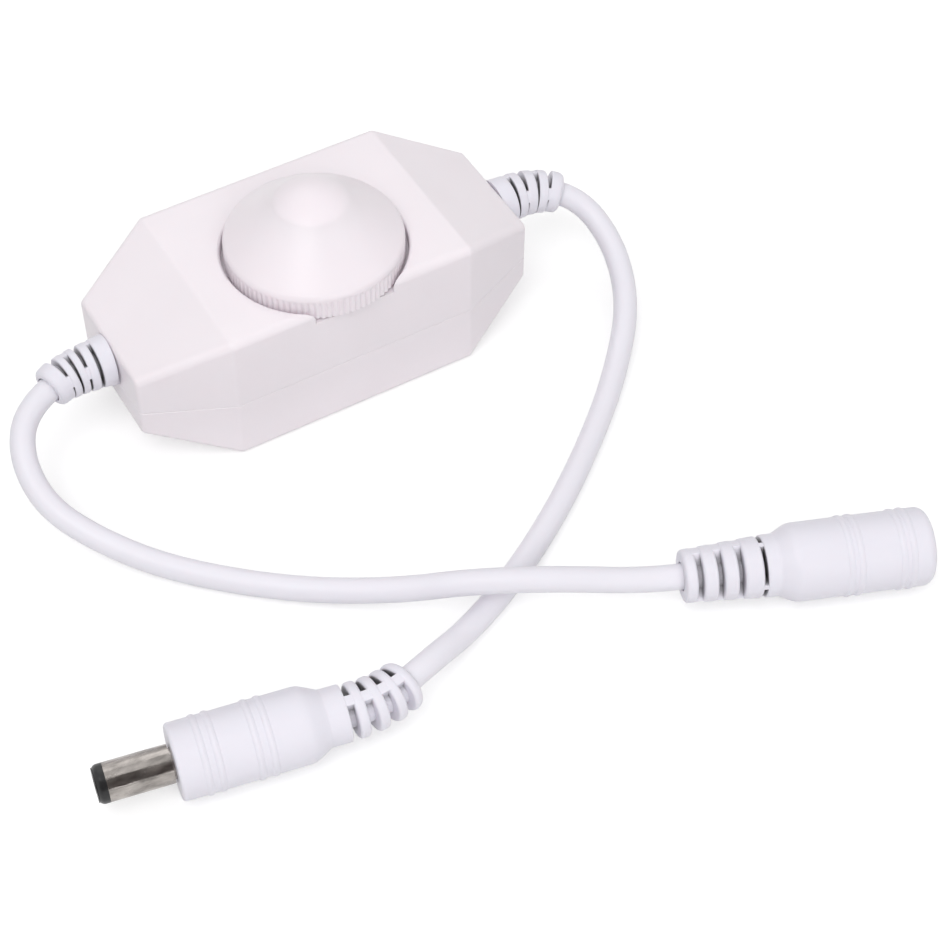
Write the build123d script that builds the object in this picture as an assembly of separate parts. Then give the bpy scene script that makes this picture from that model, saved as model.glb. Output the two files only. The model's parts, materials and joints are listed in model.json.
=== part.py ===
from build123d import *
import math
import os

# Inline cord dimmer for low-voltage lighting: a housing in two shells with a rotary knob, a short cord
# out of each end, a coaxial DC socket on the input cord and a coaxial DC plug on the output cord.
# Millimetres. X runs along the housing, towards the output cord; the knob stands nearer to the -Y side;
# Z is up. The origin is the centre of the housing's flat base.

# Housing outline: a long octagon in plan, with end faces that slope in to the flat top and base
CASE_FLAT = 40.0
CASE_LENGTH = 67.0
CASE_WIDTH = 32.0
CASE_END_WIDTH = 20.0
CASE_HEIGHT = 24.0
END_FACE_LOW = 6.3
END_FACE_HIGH = 17.7
CASE_WALL = 2.0
CASE_EDGE = 1.3
CASE_END_EDGE = 1.0
PARTING_HEIGHT = 11.0
PARTING_BREAK = 0.15
LIP_HEIGHT = 1.2
FIT_GAP = 0.1

# Round well for the knob, which breaks out through the front wall
KNOB_Y = -3.3
WELL_RADIUS = 14.3
WELL_FLOOR = 21.8
WELL_FLOOR_WALL = 1.6
WELL_LIP = 0.4

# Case screws and the bosses they run in
BOSS_X = 17.0
BOSS_Y = 11.6
BOSS_RADIUS = 2.8
SCREW_RADIUS = 1.1
SCREW_HOLE_GAP = 0.2
SCREW_LENGTH = 16.0
SCREW_HEAD_RADIUS = 2.0
SCREW_HEAD_HEIGHT = 1.3
SCREW_SEAT = 2.0
SCREW_SLOT_WIDTH = 0.6
SCREW_SLOT_DEPTH = 0.8
HEAD_GAP = 0.25

# Knob
KNOB_RADIUS = 13.45
KNOB_LIFT = 0.3
KNOB_EDGE_HEIGHT = 26.6
KNOB_EDGE_ROUND = 1.0
KNOB_TIP_HEIGHT = 35.0
KNOB_TIP_RADIUS = 9.5
KNOB_WALL = 1.6
KNOB_RIDGES = 88
RIDGE_DEPTH = 0.3
KNOB_HUB_RADIUS = 4.6
KNOB_WEBS = 6
KNOB_WEB_THICKNESS = 1.0
KNOB_WEB_RECESS = 1.5

# Circuit board
BOARD_HEIGHT = 6.0
BOARD_THICKNESS = 1.6
BOARD_LENGTH = 50.0
BOARD_CLEARANCE = 0.6
PEG_X = 9.5
PEG_Y = 9.5
POST_RADIUS = 1.6
PEG_RADIUS = 0.9
PEG_HEIGHT = 0.8

# Potentiometer
POT_LENGTH = 9.8
POT_DEPTH = 11.4
POT_HEIGHT = 5.8
POT_CAVITY_RADIUS = 4.3
POT_FLOOR = 1.0
TRACK_THICKNESS = 0.8
TRACK_HOLE_RADIUS = 1.2
BRACKET_THICKNESS = 0.8
BRACKET_LEG_WIDTH = 3.0
BRACKET_LEG_REACH = 1.4
BUSH_RADIUS = 3.5
BUSH_HEIGHT = 6.4
SPINDLE_RADIUS = 3.0
SPINDLE_RUNNING_GAP = 0.05
SPINDLE_FLAT = 1.5
SPINDLE_REACH = 30.4
ROTOR_RADIUS = 4.0
ROTOR_THICKNESS = 1.4
ROTOR_CLEARANCE = 0.3
WIPER_THICKNESS = 0.3
WIPER_ARM = 2.4
WIPER_CLEARANCE = 0.3
TERMINAL_PITCH = 2.5
TERMINAL_WIDTH = 0.8
TERMINAL_THICKNESS = 0.4
TERMINAL_STANDOFF = 1.6
PIN_BELOW_BOARD = 1.4

# Parts on the board
CHIP_LENGTH = 4.9
CHIP_WIDTH = 3.9
CHIP_HEIGHT = 1.5
CHIP_LEAD_PITCH = 1.27
TRANSISTOR_LENGTH = 6.6
TRANSISTOR_WIDTH = 6.1
TRANSISTOR_HEIGHT = 2.3
CAPACITOR_RADIUS = 3.15
CAPACITOR_HEIGHT = 9.0
DIODE_RADIUS = 1.35
DIODE_LENGTH = 5.2
DIODE_LEAD_RADIUS = 0.4
SMALL_PART_LENGTH = 2.0
SMALL_PART_WIDTH = 1.25
SMALL_PART_HEIGHT = 0.6
CHIP_PLACE = (-9.8, 3.2)
TRANSISTOR_PLACE = (15.5, 0.0)
CAPACITOR_PLACE = (-16.0, 0.0)
DIODE_PLACE = (7.3, 4.8)
RESISTOR_PLACES = [(-7.0, 10.8, 0), (-3.0, 10.8, 0), (1.0, 10.8, 0), (5.0, 10.8, 0), (-9.0, -4.0, 90)]
CERAMIC_PLACES = [(-11.5, -4.0, 90), (8.8, -4.5, 90), (-2.5, 7.2, 0)]

# Cords, and the inner wires that run on from them
CORD_DIAMETER = 3.8
EXIT_HEIGHT = 14.0
WIRE_DIAMETER = 1.3
WIRE_SPREAD = 0.95
PAD_X = 23.0
PAD_Y = 2.6
PAD_RADIUS = 1.2
PAD_HEIGHT = 0.6

# Strain reliefs on the housing: a neck in the end wall, a flange behind it, slotted rings outside
NECK_RADIUS = 2.9
FLANGE_WIDTH = 9.2
FLANGE_THICKNESS = 1.3
FLANGE_LOW = 3.6
FLANGE_HIGH = 2.1
RELIEF_ROOT_RADIUS = 4.0
RELIEF_END_RADIUS = 3.2
INPUT_SLOTS = (2.55, 4.45, 6.1, 7.8)
OUTPUT_SLOTS = (3.0, 5.0, 7.15, 9.2)
RELIEF_SLOT_WIDTH = 0.55
RELIEF_CORE_RADIUS = 2.25
RELIEF_RIB_WIDTH = 1.9
RIB_SINK = 0.12
RELIEF_RING_EDGE = 0.25
RELIEF_END_EDGE = 0.9
RELIEF_RIB_TURN = 58.0
RELIEF_LEAN = 4.0
CORD_EXIT_DEPTH = 0.5
CORD_EXIT_GAP = 0.25
INPUT_RELIEF_LENGTH = 10.4
INPUT_BEND = 20.0
INPUT_BEND_LENGTH = 6.0
INPUT_BEND_TILT = 20.0
OUTPUT_RELIEF_LENGTH = 11.6
OUTPUT_BEND = 35.0
OUTPUT_BEND_LENGTH = 8.2
OUTPUT_BEND_TILT = 25.0

# Plug on the output cord: 5.5 mm barrel with a 2.1 mm bore
BARREL_RADIUS = 2.75
BARREL_WALL = 0.35
BARREL_REACH = 9.2
BARREL_SEAT = 4.0
BARREL_SHANK_RADIUS = 2.25
BARREL_SHANK_SHOWS = 0.3
BARREL_FLANGE = 0.5
BARREL_FLANGE_THICKNESS = 0.8
TIP_LENGTH = 1.5
TIP_ROUND = 0.85
BORE_RADIUS = 1.05
CONTACT_WALL = 0.25
CONTACT_SETBACK = 0.5
CONTACT_LENGTH = 10.0
CONTACT_TAIL_RADIUS = 0.6
CONTACT_TAIL = 2.5
PLUG_RADIUS = 5.45
PLUG_BODY_LENGTH = 18.5
PLUG_EDGE = 0.5
PLUG_SHOULDER_LENGTH = 2.7
PLUG_NECK_RADIUS = 4.1
PLUG_NECK_LENGTH = 2.4
PLUG_RIDGES = (3.8, 5.6, 11.0, 12.9)
RIDGE_HEIGHT = 0.2
RIDGE_WIDTH = 1.0
SHOULDER_ROUND = 3.0
NECK_ROUND = 0.8
PLUG_RELIEF_LENGTH = 10.4
PLUG_RELIEF_END_RADIUS = 3.8
PLUG_RELIEF_SLOTS = (0.95, 3.4, 5.85, 8.2)
PLUG_RIB_TURN = 11.0
PLUG_RIB_WIDTH = 1.5
PLUG_RELIEF_BEND = 28.0
PLUG_RELIEF_BEND_LENGTH = 8.6
CONNECTOR_SLOT_WIDTH = 0.85
CONNECTOR_CORE_RADIUS = 2.25
CONNECTOR_RING_EDGE = 0.5
PLUG_END_EDGE = 1.2
PLUG_TIP = (-65.09, -62.31)
PLUG_HEADING = -10.75

# Socket on the input cord
SOCKET_RADIUS = 5.75
SOCKET_BODY_LENGTH = 20.4
SOCKET_END_ROUND = 1.5
SOCKET_SHOULDER_LENGTH = 2.3
SOCKET_NECK_RADIUS = 4.55
SOCKET_NECK_LENGTH = 1.5
SOCKET_RIDGES = (3.6, 5.1, 11.3, 12.8)
SOCKET_RELIEF_LENGTH = 12.2
SOCKET_RELIEF_END_RADIUS = 3.85
SOCKET_FIRST_SLOT = 0.7
SOCKET_FIRST_SLOT_WIDTH = 0.45
SOCKET_FIRST_RIB_TURN = 8.0
SOCKET_FIRST_RIB_WIDTH = 0.8
SOCKET_SLOTS = (4.15, 7.1, 10.05)
SOCKET_RIB_TURN = 38.0
SOCKET_RIB_WIDTH = 3.0
SOCKET_END_EDGE = 0.5
SOCKET_BORE_RADIUS = 2.85
SOCKET_BORE_DEPTH = 10.5
INSULATOR_RADIUS = 4.2
INSULATOR_LENGTH = 13.0
INSULATOR_SETBACK = 0.8
CENTRE_PIN_RADIUS = 1.0
CENTRE_PIN_SETBACK = 1.4
CENTRE_PIN_TAIL = 2.0
CENTRE_PIN_SHANK_RADIUS = 0.8
CENTRE_PIN_ROUND = 0.4
SPRING_WIDTH = 2.0
SPRING_THICKNESS = 0.3
SPRING_SLOT_DEPTH = 0.7
SPRING_BOW = 0.45
SPRING_REACH = 9.0
SOCKET_MOUTH = (55.68, -85.71)
SOCKET_HEADING = 158.9

# Routes of the cords between their ends: points chosen by hand from how they lie
INPUT_ROUTE = [
    (-52.3, -8.6, 10.3),
    (-52.0, -15.6, 6.2),
    (-47.6, -23.4, 3.0),
    (-40.2, -32.7, 1.95),
    (-26.8, -43.9, 1.95),
    (-14.4, -52.6, 4.6),
    (-5.0, -60.2, 9.6),
    (6.0, -65.8, 9.6),
]
OUTPUT_ROUTE = [
    (51.6, -12.6, 8.0),
    (47.0, -21.6, 4.4),
    (39.2, -30.2, 1.95),
    (29.4, -39.5, 1.95),
    (16.0, -50.4, 1.95),
    (2.4, -58.9, 1.95),
    (-7.6, -63.4, 1.95),
]
CORD_LEAD = 5.6

# Heights at which the plug and the socket lie on the surface
PLUG_AXIS_HEIGHT = PLUG_RADIUS + RIDGE_HEIGHT
SOCKET_AXIS_HEIGHT = SOCKET_RADIUS + RIDGE_HEIGHT

# Values that follow from the ones above
BOARD_TOP = BOARD_HEIGHT + BOARD_THICKNESS
KNOB_BOTTOM = WELL_FLOOR + KNOB_LIFT
WELL_CEILING = WELL_FLOOR - WELL_FLOOR_WALL
POT_TOP = BOARD_TOP + POT_HEIGHT
BRACKET_TOP = POT_TOP + BRACKET_THICKNESS
BUSH_HOLE_RADIUS = BUSH_RADIUS + 0.3
WALL_INSIDE = CASE_LENGTH / 2 - CASE_WALL
BELOW = (Align.CENTER, Align.CENTER, Align.MAX)
ABOVE = (Align.CENTER, Align.CENTER, Align.MIN)


def case_plan(inset=0.0):
    """Plan of the housing, or of its inside when inset by the wall."""
    flat, end = CASE_FLAT / 2, CASE_LENGTH / 2
    side, end_side = CASE_WIDTH / 2, CASE_END_WIDTH / 2
    corner = [(end, end_side), (flat, side)]
    points = corner + [(-x, y) for x, y in reversed(corner)]
    points += [(-x, -y) for x, y in corner] + [(x, -y) for x, y in reversed(corner)]
    outline = make_face(Polyline(*points, close=True))
    return offset(outline, amount=-inset, kind=Kind.INTERSECTION) if inset else outline


def case_profile(inset=0.0):
    """Side view of the housing: flat top and base, end faces joined to them by slopes."""
    flat, end = CASE_FLAT / 2, CASE_LENGTH / 2
    right = [(flat, 0), (end, END_FACE_LOW), (end, END_FACE_HIGH), (flat, CASE_HEIGHT)]
    points = right + [(-x, z) for x, z in reversed(right)]
    outline = make_face(Polyline(*points, close=True))
    return offset(outline, amount=-inset, kind=Kind.INTERSECTION) if inset else outline


def case_block(inset=0.0):
    plan = extrude(case_plan(inset), CASE_HEIGHT)
    profile = extrude(Plane.XZ * case_profile(inset), CASE_WIDTH / 2, both=True)
    return plan & profile


def end_edges(block):
    """Edges round the two end faces."""
    return [edge for face in block.faces().filter_by(Axis.X) for edge in face.edges()]


def rounded_block():
    """Outside of the housing: the long edges are rounded first, then those round the end faces."""
    block = case_block()
    ends = end_edges(block)
    block = fillet([edge for edge in block.edges() if edge not in ends], CASE_EDGE)
    return fillet(end_edges(block), CASE_END_EDGE)


def shell_half(block, keep):
    return split(block, Plane.XY.offset(PARTING_HEIGHT), keep=keep)


def shell_outside(block, keep):
    """Half of the outside, with a small chamfer all round its parting face."""
    half = shell_half(block, keep)
    flats = half.faces().filter_by(Axis.Z)
    parting_face = min(flats, key=lambda face: abs(face.center().Z - PARTING_HEIGHT))
    return chamfer(parting_face.outer_wire().edges(), PARTING_BREAK)


def boss_places():
    return [Pos(x, y) for x in (-BOSS_X, BOSS_X) for y in (-BOSS_Y, BOSS_Y)]


def peg_places():
    return [Pos(x, y) for x in (-PEG_X, PEG_X) for y in (-PEG_Y, PEG_Y)]


def lip_ring(outer, inner, top):
    """Ring that follows the wall, from the parting line up."""
    ring = case_plan(outer) - case_plan(inner)
    return Pos(0, 0, PARTING_HEIGHT) * extrude(ring, top)


def neck_outline(gap=0.0):
    """Neck of a relief, or its hole: round above, straight sides down to the parting line."""
    radius = NECK_RADIUS + gap
    drop = EXIT_HEIGHT - PARTING_HEIGHT - FIT_GAP + gap
    return Circle(radius) + Pos(0, -drop / 2) * Rectangle(2 * radius, drop)


def end_plane(side, x):
    """Plane across the housing's end, looking out along X on the given side."""
    return Plane(origin=(side * x, 0, EXIT_HEIGHT), x_dir=(0, side, 0), z_dir=(side, 0, 0))


def neck_hole(side):
    start = WALL_INSIDE - 2 * CASE_WALL
    return extrude(end_plane(side, start) * neck_outline(FIT_GAP), 4 * CASE_WALL)


def well_cutter():
    """Knob well with a rounded lip at the top face."""
    lip_top = CASE_HEIGHT + WELL_LIP
    start = (WELL_RADIUS, CASE_HEIGHT - WELL_LIP)
    middle = (
        WELL_RADIUS + WELL_LIP * (1 - math.cos(math.pi / 4)),
        CASE_HEIGHT - WELL_LIP * (1 - math.sin(math.pi / 4)),
    )
    finish = (WELL_RADIUS + WELL_LIP, CASE_HEIGHT)
    outline = (
        Polyline((0, WELL_FLOOR), (WELL_RADIUS, WELL_FLOOR), start)
        + ThreePointArc(start, middle, finish)
        + Polyline(finish, (finish[0], lip_top), (0, lip_top), (0, WELL_FLOOR))
    )
    return Pos(0, KNOB_Y) * revolve(Plane.XZ * make_face(outline), Axis.Z)


def upper_shell(block, inside):
    shell = shell_outside(block, Keep.TOP) - shell_half(inside, Keep.TOP)
    well_wall = Pos(0, KNOB_Y, WELL_CEILING) * Cylinder(WELL_RADIUS + CASE_WALL, CASE_HEIGHT, align=ABOVE)
    shell += well_wall & shell_half(block, Keep.TOP)
    boss_height = CASE_HEIGHT - PARTING_HEIGHT - CASE_WALL / 2
    for place in boss_places():
        boss = place * Pos(0, 0, PARTING_HEIGHT) * Cylinder(BOSS_RADIUS, boss_height, align=ABOVE)
        shell += boss & shell_half(block, Keep.TOP)
    for place in boss_places():
        depth = SCREW_SEAT + SCREW_LENGTH
        shell -= place * Cylinder(SCREW_RADIUS, depth, align=ABOVE)
    rebate = lip_ring(CASE_WALL / 2 - FIT_GAP, CASE_WALL + FIT_GAP, LIP_HEIGHT + FIT_GAP)
    for place in boss_places():
        rebate -= place * Pos(0, 0, PARTING_HEIGHT) * Cylinder(BOSS_RADIUS, LIP_HEIGHT + FIT_GAP, align=ABOVE)
    shell -= rebate
    shell -= well_cutter()
    shell -= Pos(0, KNOB_Y) * Cylinder(BUSH_HOLE_RADIUS, CASE_HEIGHT, align=ABOVE)
    for side in (-1, 1):
        shell -= neck_hole(side)
    return shell


def lower_shell(block, inside):
    shell = shell_outside(block, Keep.BOTTOM) - shell_half(inside, Keep.BOTTOM)
    lip = lip_ring(CASE_WALL / 2, CASE_WALL, LIP_HEIGHT)
    for place in boss_places():
        lip -= place * Pos(0, 0, PARTING_HEIGHT) * Cylinder(BOSS_RADIUS + FIT_GAP, LIP_HEIGHT, align=ABOVE)
    for side in (-1, 1):
        lip -= neck_hole(side)
    shell += lip
    for place in boss_places():
        boss = place * Cylinder(BOSS_RADIUS, PARTING_HEIGHT, align=ABOVE)
        shell += boss & shell_half(block, Keep.BOTTOM)
    for place in boss_places():
        shell -= place * Cylinder(SCREW_RADIUS + SCREW_HOLE_GAP, PARTING_HEIGHT, align=ABOVE)
        shell -= place * Cylinder(SCREW_HEAD_RADIUS + HEAD_GAP, SCREW_SEAT, align=ABOVE)
    for place in peg_places():
        foot = CASE_WALL / 2
        shell += place * Pos(0, 0, foot) * Cylinder(POST_RADIUS, BOARD_HEIGHT - foot, align=ABOVE)
        shell += place * Pos(0, 0, foot) * Cylinder(PEG_RADIUS, BOARD_TOP + PEG_HEIGHT - foot, align=ABOVE)
    return shell


def case_screws():
    """Four self-tapping screws with a cross recess, put in from below."""
    screws = []
    for place in boss_places():
        seat = Pos(0, 0, SCREW_SEAT)
        screw = seat * Cylinder(SCREW_RADIUS, SCREW_LENGTH, align=ABOVE)
        screw += seat * Cylinder(SCREW_HEAD_RADIUS, SCREW_HEAD_HEIGHT, align=BELOW)
        underside = Pos(0, 0, SCREW_SEAT - SCREW_HEAD_HEIGHT)
        span = 2 * (SCREW_HEAD_RADIUS - SCREW_SLOT_WIDTH)
        screw -= underside * Box(span, SCREW_SLOT_WIDTH, SCREW_SLOT_DEPTH, align=ABOVE)
        screw -= underside * Box(SCREW_SLOT_WIDTH, span, SCREW_SLOT_DEPTH, align=ABOVE)
        screws.append(place * screw)
    return Compound(children=screws)


def knob_slope():
    """Angle of the conical top, and where it meets the rounded tip, as (radius, height)."""
    rim = (KNOB_RADIUS - KNOB_EDGE_ROUND, KNOB_EDGE_HEIGHT)
    rise = KNOB_TIP_HEIGHT - KNOB_TIP_RADIUS - rim[1]
    reach = math.hypot(rim[0], rise)
    angle = math.atan2(rise, rim[0]) + math.asin(KNOB_TIP_RADIUS / reach)
    run = math.sqrt(reach**2 - KNOB_TIP_RADIUS**2)
    return angle, (rim[0] - run * math.cos(angle), rim[1] + run * math.sin(angle))


def knob_outline():
    angle, touch = knob_slope()
    tip_centre = KNOB_TIP_HEIGHT - KNOB_TIP_RADIUS
    edge_start = (KNOB_RADIUS, KNOB_EDGE_HEIGHT - KNOB_EDGE_ROUND)
    edge_middle = (
        KNOB_RADIUS - KNOB_EDGE_ROUND * (1 - math.cos(math.pi / 4)),
        KNOB_EDGE_HEIGHT - KNOB_EDGE_ROUND * (1 - math.sin(math.pi / 4)),
    )
    edge_end = (KNOB_RADIUS - KNOB_EDGE_ROUND, KNOB_EDGE_HEIGHT)
    tip_middle = (
        KNOB_TIP_RADIUS * math.sin(angle / 2),
        tip_centre + KNOB_TIP_RADIUS * math.cos(angle / 2),
    )
    tip = (0, KNOB_TIP_HEIGHT)
    return (
        Polyline((0, KNOB_BOTTOM), (KNOB_RADIUS, KNOB_BOTTOM), edge_start)
        + ThreePointArc(edge_start, edge_middle, edge_end)
        + Line(edge_end, touch)
        + ThreePointArc(touch, tip_middle, tip)
        + Line(tip, (0, KNOB_BOTTOM))
    )


def knurl_cutter():
    """Ring with a toothed inside, which leaves the ridges standing on the skirt."""
    top = KNOB_EDGE_HEIGHT - 1.2 * KNOB_EDGE_ROUND
    valley = KNOB_RADIUS - RIDGE_DEPTH
    points = []
    for ridge in range(KNOB_RIDGES):
        for step, radius in ((0.0, valley), (0.35, KNOB_RADIUS), (0.65, KNOB_RADIUS)):
            turn = 2 * math.pi * (ridge + step) / KNOB_RIDGES
            points.append((radius * math.cos(turn), radius * math.sin(turn)))
    teeth = make_face(Polyline(*points, close=True))
    ring = Circle(KNOB_RADIUS + 1) - teeth
    return Pos(0, 0, KNOB_BOTTOM) * extrude(ring, top - KNOB_BOTTOM)


def spindle_section(radius, flat):
    """Round shaft with a flat on the +Y side."""
    return Circle(radius) - Pos(0, radius) * Rectangle(2 * radius, 2 * (radius - flat))


def knob():
    body = revolve(Plane.XZ * make_face(knob_outline()), Axis.Z)
    angle = knob_slope()[0]
    inner_radius = KNOB_RADIUS - RIDGE_DEPTH - KNOB_WALL
    drop = KNOB_WALL / math.cos(angle)
    inner_low = KNOB_EDGE_HEIGHT - drop + (KNOB_RADIUS - KNOB_EDGE_ROUND - inner_radius) * math.tan(angle)
    inner_high = inner_low + (inner_radius - KNOB_HUB_RADIUS) * math.tan(angle)
    hollow_outline = Polyline(
        (KNOB_HUB_RADIUS, KNOB_BOTTOM),
        (inner_radius, KNOB_BOTTOM),
        (inner_radius, inner_low),
        (KNOB_HUB_RADIUS, inner_high),
        close=True,
    )
    hollow = revolve(Plane.XZ * make_face(hollow_outline), Axis.Z)
    webs = []
    for web in range(KNOB_WEBS):
        blade = Box(inner_radius, KNOB_WEB_THICKNESS, KNOB_TIP_HEIGHT, align=(Align.MIN, Align.CENTER, Align.MIN))
        webs.append(Rot(0, 0, 360 * web / KNOB_WEBS) * Pos(0, 0, KNOB_BOTTOM + KNOB_WEB_RECESS) * blade)
    for blade in webs:
        hollow -= blade
    bore = extrude(spindle_section(SPINDLE_RADIUS, SPINDLE_FLAT), SPINDLE_REACH)
    return Pos(0, KNOB_Y) * (body - hollow - knurl_cutter() - bore)


def pot_spindle():
    """Spindle with its rotor, and the stub under it that carries the wiper."""
    rotor_top = POT_TOP - ROTOR_CLEARANCE
    rotor_bottom = rotor_top - ROTOR_THICKNESS
    shaft = Pos(0, 0, rotor_top) * Cylinder(SPINDLE_RADIUS, SPINDLE_REACH - rotor_top, align=ABOVE)
    flat_height = SPINDLE_REACH - KNOB_BOTTOM
    flat = Pos(0, SPINDLE_FLAT, KNOB_BOTTOM) * Box(
        2 * SPINDLE_RADIUS, 2 * SPINDLE_RADIUS, flat_height, align=(Align.CENTER, Align.MIN, Align.MIN)
    )
    rotor = Pos(0, 0, rotor_bottom) * Cylinder(ROTOR_RADIUS, ROTOR_THICKNESS, align=ABOVE)
    return Pos(0, KNOB_Y) * (shaft - flat + rotor)


def pot_wiper():
    """Spring washer under the rotor, with one arm bent down to the track."""
    rotor_bottom = POT_TOP - ROTOR_CLEARANCE - ROTOR_THICKNESS
    track_top = BOARD_TOP + POT_FLOOR + TRACK_THICKNESS
    washer = Circle(ROTOR_RADIUS) - Circle(WIPER_THICKNESS + 1.5)
    body = Pos(0, 0, rotor_bottom - WIPER_THICKNESS) * extrude(washer, WIPER_THICKNESS)
    low = track_top + WIPER_CLEARANCE
    arm_height = rotor_bottom - low
    arm = Box(1.0, WIPER_ARM, arm_height, align=(Align.CENTER, Align.CENTER, Align.MIN))
    return Pos(0, KNOB_Y) * (body + Pos(ROTOR_RADIUS - 1.2, 0, low) * arm)


def pot_base():
    box = Box(POT_LENGTH, POT_DEPTH, POT_HEIGHT, align=ABOVE)
    cavity = Pos(0, 0, POT_FLOOR) * Cylinder(POT_CAVITY_RADIUS, POT_HEIGHT, align=ABOVE)
    return Pos(0, KNOB_Y, BOARD_TOP) * (box - cavity)


def pot_track():
    disc = Circle(POT_CAVITY_RADIUS) - Circle(TRACK_HOLE_RADIUS)
    return Pos(0, KNOB_Y, BOARD_TOP + POT_FLOOR) * extrude(disc, TRACK_THICKNESS)


def pot_bracket():
    """Steel plate over the base, with the bush and two legs through the board."""
    plate = Pos(0, 0, POT_TOP) * Box(
        POT_LENGTH + 2 * BRACKET_THICKNESS, POT_DEPTH, BRACKET_THICKNESS, align=ABOVE
    )
    bush = Pos(0, 0, BRACKET_TOP) * Cylinder(BUSH_RADIUS, BUSH_HEIGHT, align=ABOVE)
    leg_foot = BOARD_HEIGHT - PIN_BELOW_BOARD
    leg_height = POT_TOP - leg_foot
    body = plate + bush
    for side in (-1, 1):
        place = Pos(side * (POT_LENGTH + BRACKET_THICKNESS) / 2, 0, leg_foot)
        body += place * Box(BRACKET_THICKNESS, BRACKET_LEG_WIDTH, leg_height, align=ABOVE)
    body -= Cylinder(SPINDLE_RADIUS + SPINDLE_RUNNING_GAP, CASE_HEIGHT, align=ABOVE)
    return Pos(0, KNOB_Y) * body


def terminal_row():
    """Places of the three terminals, on the board behind the potentiometer."""
    y = KNOB_Y + POT_DEPTH / 2 + TERMINAL_STANDOFF
    return [Pos(k * TERMINAL_PITCH, y, 0) for k in (-1, 0, 1)]


def pot_terminals():
    """Three tags that come out of the base and turn down through the board."""
    tag_height = BOARD_TOP + POT_FLOOR
    foot = BOARD_HEIGHT - PIN_BELOW_BOARD
    tags = []
    for place in terminal_row():
        upright = Pos(0, 0, foot) * Box(TERMINAL_WIDTH, TERMINAL_THICKNESS, tag_height - foot, align=ABOVE)
        reach = TERMINAL_STANDOFF + TERMINAL_THICKNESS / 2
        flat = Pos(0, TERMINAL_THICKNESS / 2, tag_height) * Box(
            TERMINAL_WIDTH, reach, TERMINAL_THICKNESS, align=(Align.CENTER, Align.MAX, Align.MIN)
        )
        tags.append(place * (upright + flat))
    return Compound(children=tags)


def circuit_board():
    outline = case_plan(CASE_WALL + BOARD_CLEARANCE) & Rectangle(BOARD_LENGTH, CASE_WIDTH)
    for place in boss_places():
        outline -= place * Circle(BOSS_RADIUS + BOARD_CLEARANCE)
        corner = place * Pos(0, 0)
        x, y = corner.position.X, corner.position.Y
        outer = Rectangle(CASE_LENGTH, CASE_WIDTH)
        reach_x = BOSS_X - BOSS_RADIUS - BOARD_CLEARANCE
        reach_y = BOSS_Y - BOSS_RADIUS - BOARD_CLEARANCE
        shift = Pos(
            math.copysign(reach_x + CASE_LENGTH / 2, x),
            math.copysign(reach_y + CASE_WIDTH / 2, y),
        )
        outline -= shift * outer
    for place in peg_places():
        outline -= place * Circle(PEG_RADIUS + FIT_GAP)
    for place in terminal_row():
        outline -= place * Rectangle(TERMINAL_WIDTH + 2 * FIT_GAP, TERMINAL_THICKNESS + 2 * FIT_GAP)
    for side in (-1, 1):
        slot = Rectangle(BRACKET_THICKNESS + 2 * FIT_GAP, BRACKET_LEG_WIDTH + 2 * FIT_GAP)
        outline -= Pos(side * (POT_LENGTH + BRACKET_THICKNESS) / 2, KNOB_Y) * slot
    return Pos(0, 0, BOARD_HEIGHT) * extrude(outline, BOARD_THICKNESS)


def timer_chip():
    """Eight-lead chip."""
    lead_reach = 1.0
    lead_thickness = 0.2
    body = Pos(0, 0, lead_thickness) * Box(CHIP_LENGTH, CHIP_WIDTH, CHIP_HEIGHT, align=ABOVE)
    for lead in range(4):
        x = (lead - 1.5) * CHIP_LEAD_PITCH
        foot = Box(0.4, CHIP_WIDTH + 2 * lead_reach, lead_thickness, align=ABOVE)
        body += Pos(x, 0, 0) * foot
    return Pos(*CHIP_PLACE, BOARD_TOP) * Rot(0, 0, 90) * body


def power_transistor():
    """Surface-mount power transistor with its tab and two legs."""
    tab_thickness = 0.5
    body = Box(TRANSISTOR_LENGTH, TRANSISTOR_WIDTH, TRANSISTOR_HEIGHT, align=ABOVE)
    tab = Pos(TRANSISTOR_LENGTH / 2, 0, 0) * Box(
        1.2, TRANSISTOR_WIDTH - 0.8, tab_thickness, align=(Align.MIN, Align.CENTER, Align.MIN)
    )
    body += tab
    for side in (-1, 1):
        leg = Box(2.6, 0.7, tab_thickness, align=(Align.MAX, Align.CENTER, Align.MIN))
        body += Pos(-TRANSISTOR_LENGTH / 2, side * 2.3, 0) * leg
    return Pos(*TRANSISTOR_PLACE, BOARD_TOP) * body


def capacitor():
    """Standing electrolytic can with a rolled groove near its foot."""
    groove_height = 1.2
    can = Cylinder(CAPACITOR_RADIUS, CAPACITOR_HEIGHT, align=ABOVE)
    groove = Circle(CAPACITOR_RADIUS + 1) - Circle(CAPACITOR_RADIUS - 0.3)
    can -= Pos(0, 0, groove_height) * extrude(groove, 0.5)
    return Pos(*CAPACITOR_PLACE, BOARD_TOP) * can


def diode():
    """Axial diode on two leads that turn down through the board."""
    lead_x = DIODE_LENGTH / 2 + 1.2
    axis_height = DIODE_RADIUS + 0.2
    body = Pos(0, 0, axis_height) * Rot(0, 90, 0) * Cylinder(DIODE_RADIUS, DIODE_LENGTH)
    body += Pos(0, 0, axis_height) * Rot(0, 90, 0) * Cylinder(DIODE_LEAD_RADIUS, 2 * lead_x)
    for side in (-1, 1):
        lead = Cylinder(DIODE_LEAD_RADIUS, axis_height, align=ABOVE)
        body += Pos(side * lead_x, 0, 0) * lead
        body += Pos(side * lead_x, 0, axis_height) * Sphere(DIODE_LEAD_RADIUS)
    return Pos(*DIODE_PLACE, BOARD_TOP) * Rot(0, 0, 90) * body


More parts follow.
